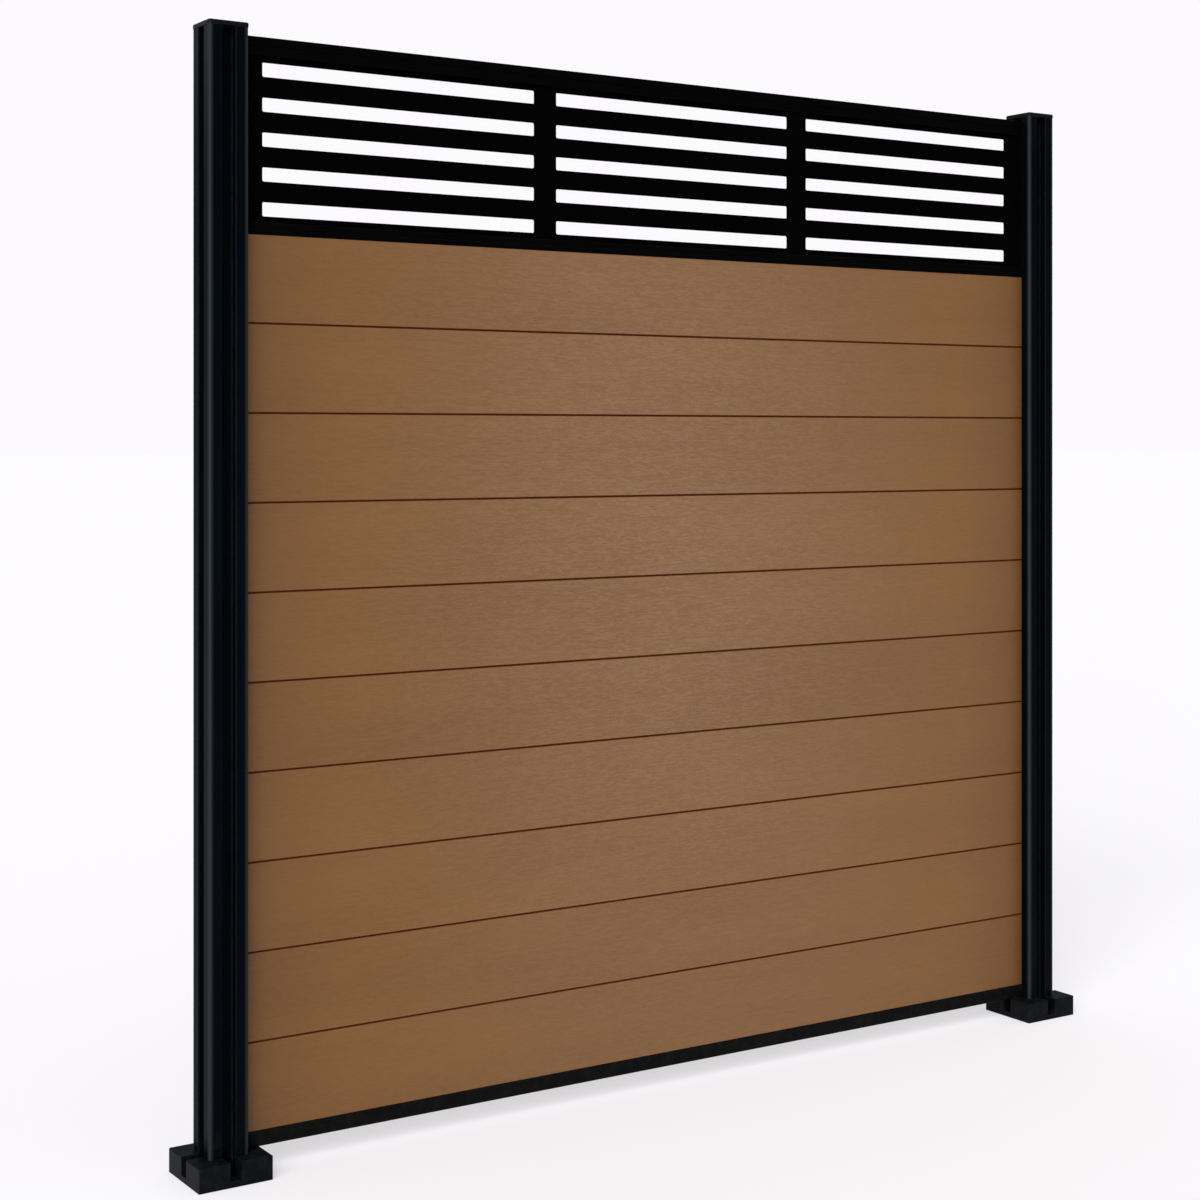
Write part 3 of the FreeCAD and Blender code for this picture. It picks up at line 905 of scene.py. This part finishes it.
class Light(Enum):
    """The studio's broad lamps: direction from the panel, watts per square metre, and breadth."""

    KEY = ((-0.62, -0.62, 0.48), 3.2, 45.0)
    TOP = ((0.05, -0.05, 1.0), 1.15, 110.0)

    def __init__(self, direction: Triple, strength: float, spread_deg: float) -> None:
        """Names the lamp's values.

        Args:
            direction: where it hangs, seen from the panel.
            strength: its strength in watts per square metre.
            spread_deg: how broad it is, which softens its shadows.
        """
        self.direction = direction
        self.strength = strength
        self.spread_deg = spread_deg

    def hang(self) -> None:
        """Hangs the lamp."""
        data = bpy.data.lights.new(f"{self.name.lower()}_light", "SUN")
        data.energy = self.strength
        data.angle = math.radians(self.spread_deg)
        piece = bpy.data.objects.new(data.name, data)
        piece.rotation_euler = Vector(self.direction).to_track_quat("Z", "Y").to_euler()
        bpy.context.scene.collection.objects.link(piece)


@dataclass(frozen=True)
class StripLight:
    """A soft upright panel of light that some pieces mirror, and that lights nothing else."""

    name: str
    place: Triple
    aim_x: float
    size: tuple[float, float]
    watts: float
    colour: Colour
    mirrored_by: tuple[str, ...]

    def hang(self) -> None:
        """Hangs the strip upright, facing the panel at aim_x."""
        data = bpy.data.lights.new(self.name, "AREA")
        data.shape = "RECTANGLE"
        data.size, data.size_y = self.size
        data.energy = self.watts
        data.color = self.colour
        piece = bpy.data.objects.new(self.name, data)
        piece.location = self.place
        backward = Vector((self.place[0] - self.aim_x, self.place[1], 0.0))
        piece.rotation_euler = backward.to_track_quat("Z", "Y").to_euler()
        piece.visible_camera = False
        piece.visible_diffuse = False
        bpy.context.scene.collection.objects.link(piece)
        mirrors = bpy.data.collections.new(f"{self.name}_mirrors")
        for node in self.mirrored_by:
            mirrors.objects.link(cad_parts[node])
        piece.light_linking.receiver_collection = mirrors


COOL = (0.88, 0.95, 1.0)
WARM = (1.0, 0.88, 0.82)
STRIPS = (
    StripLight(
        name="post_corner_strip",
        place=(-4.1, -2.8, 1.2),
        aim_x=-0.95,
        size=(3.2, 2.6),
        watts=450.0,
        colour=COOL,
        mirrored_by=METAL_NODES,
    ),
    StripLight(
        name="post_side_strip",
        place=(-2.2, 2.9, 3.0),
        aim_x=-0.95,
        size=(1.4, 1.2),
        watts=12.0,
        colour=COOL,
        mirrored_by=METAL_NODES,
    ),
    StripLight(
        name="post_rear_strip",
        place=(2.8, 3.9, 1.2),
        aim_x=0.95,
        size=(3.2, 2.6),
        watts=30.0,
        colour=COOL,
        mirrored_by=both("post"),
    ),
    StripLight(
        name="board_sheen_strip",
        place=(2.20, -3.35, 0.85),
        aim_x=0.0,
        size=(1.0, 2.0),
        watts=72.0,
        colour=WARM,
        mirrored_by=BOARD_NODES,
    ),
)


@dataclass
class Studio:
    """A plain pale floor, soft light and the camera at the photograph's place."""

    eye: Triple = (-2.320, -3.301, 1.224)
    turn_deg: float = 33.07
    lens_mm: float = 63.87
    sensor_mm: float = 36.0
    shift_down: float = 0.1356
    sight: float = 400.0
    floor_reach: float = 150.0
    floor_cells: int = 8
    floor_drop: float = 0.0005
    floor_colour: Colour = (0.445, 0.438, 0.448)
    floor_glow: Colour = (0.482, 0.473, 0.486)
    floor_specular: float = 0.1
    floor_grains_per_metre: float = 500.0
    floor_depth: float = 0.00005
    backdrop: Colour = (0.972, 0.955, 0.980)
    sky_colour: Colour = (0.97, 0.985, 1.0)
    sky_strength: float = 0.28

    def floor(self) -> None:
        """Lays the floor, a sheet that is lit from below as well, which keeps shadows faint."""
        mesh = bmesh.new()
        bmesh.ops.create_grid(
            mesh, x_segments=self.floor_cells, y_segments=self.floor_cells, size=self.floor_reach
        )
        data = bpy.data.meshes.new("floor")
        mesh.to_mesh(data)
        mesh.free()
        skin = Skin(
            "floor_paper",
            Specular_IOR_Level=self.floor_specular,
            Emission_Color=rgba(self.floor_glow),
            Emission_Strength=1.0,
        )
        wiring = skin.wiring
        grain = wiring.noise(wiring.place(), self.floor_grains_per_metre, detail=2.0)
        rough = wiring.ramp(grain, low=0.3, high=0.7, start=0.8, end=0.9)
        paper = skin.finish(rgba(self.floor_colour), rough, grain, self.floor_depth)
        data.materials.append(paper)
        piece = bpy.data.objects.new("floor", data)
        piece.location.z = -self.floor_drop
        bpy.context.scene.collection.objects.link(piece)

    def sky(self) -> None:
        """Surrounds the studio with weak even light, and with a pale backdrop for the camera."""
        world = bpy.data.worlds.new("studio")
        world.use_nodes = True
        bpy.context.scene.world = world
        wiring = Wiring(world.node_tree)
        soft = world.node_tree.nodes["Background"]
        soft.inputs["Strength"].default_value = self.sky_strength
        soft.inputs["Color"].default_value = rgba(self.sky_colour)
        seen = wiring.add("ShaderNodeBackground")
        seen.inputs["Color"].default_value = rgba(self.backdrop)
        choice = wiring.add("ShaderNodeMixShader")
        from_camera = wiring.add("ShaderNodeLightPath").outputs["Is Camera Ray"]
        for socket, value in zip(choice.inputs, (from_camera, soft.outputs[0], seen.outputs[0])):
            wiring.feed(socket, value)
        surface = world.node_tree.nodes["World Output"].inputs["Surface"]
        wiring.feed(surface, choice.outputs[0])

    def camera(self) -> None:
        """Sets up the camera, level and turned towards the right."""
        data = bpy.data.cameras.new("camera")
        data.sensor_width = self.sensor_mm
        data.lens = self.lens_mm
        data.shift_y = -self.shift_down
        data.clip_end = self.sight
        piece = bpy.data.objects.new("camera", data)
        piece.location = self.eye
        piece.rotation_euler = (math.radians(90.0), 0.0, math.radians(-self.turn_deg))
        bpy.context.scene.collection.objects.link(piece)
        bpy.context.scene.camera = piece

    def build(self) -> None:
        """Builds the whole studio."""
        self.floor()
        self.sky()
        for light in (*Light, *STRIPS):
            light.hang()
        self.camera()
        bpy.context.scene.view_settings.view_transform = "Standard"


def main() -> None:
    """Dresses the panel from the ground up, then builds the studio."""
    logging.basicConfig(level=logging.INFO, format="%(name)s: %(message)s")
    upper_rails = ("screen_joining_rail", "top_rail") + both("screen_edge")
    assemblies = (
        PackedPieces("bases", both("base"), BASE_COAT),
        PackedPieces("base screws", both("base_screws"), SCREW_STEEL),
        PackedPieces("posts", both("post"), POST_COAT),
        PackedPieces("caps", both("cap"), CAP_PLASTIC),
        PackedPieces("lower rail", ("bottom_rail",), LOWER_RAIL_COAT),
        PackedPieces("upper rails", upper_rails, UPPER_RAIL_COAT),
        PackedPieces("boards", BOARD_NODES, BOARD_FINISH),
        PackedPieces("screen", ("screen_panel",), SCREEN_COAT),
    )
    for assembly in assemblies:
        assembly.dress()
    screws = RailScrews()
    for side in Side:
        screws.build(side)
    Studio().build()


if __name__ == "__main__":
    main()
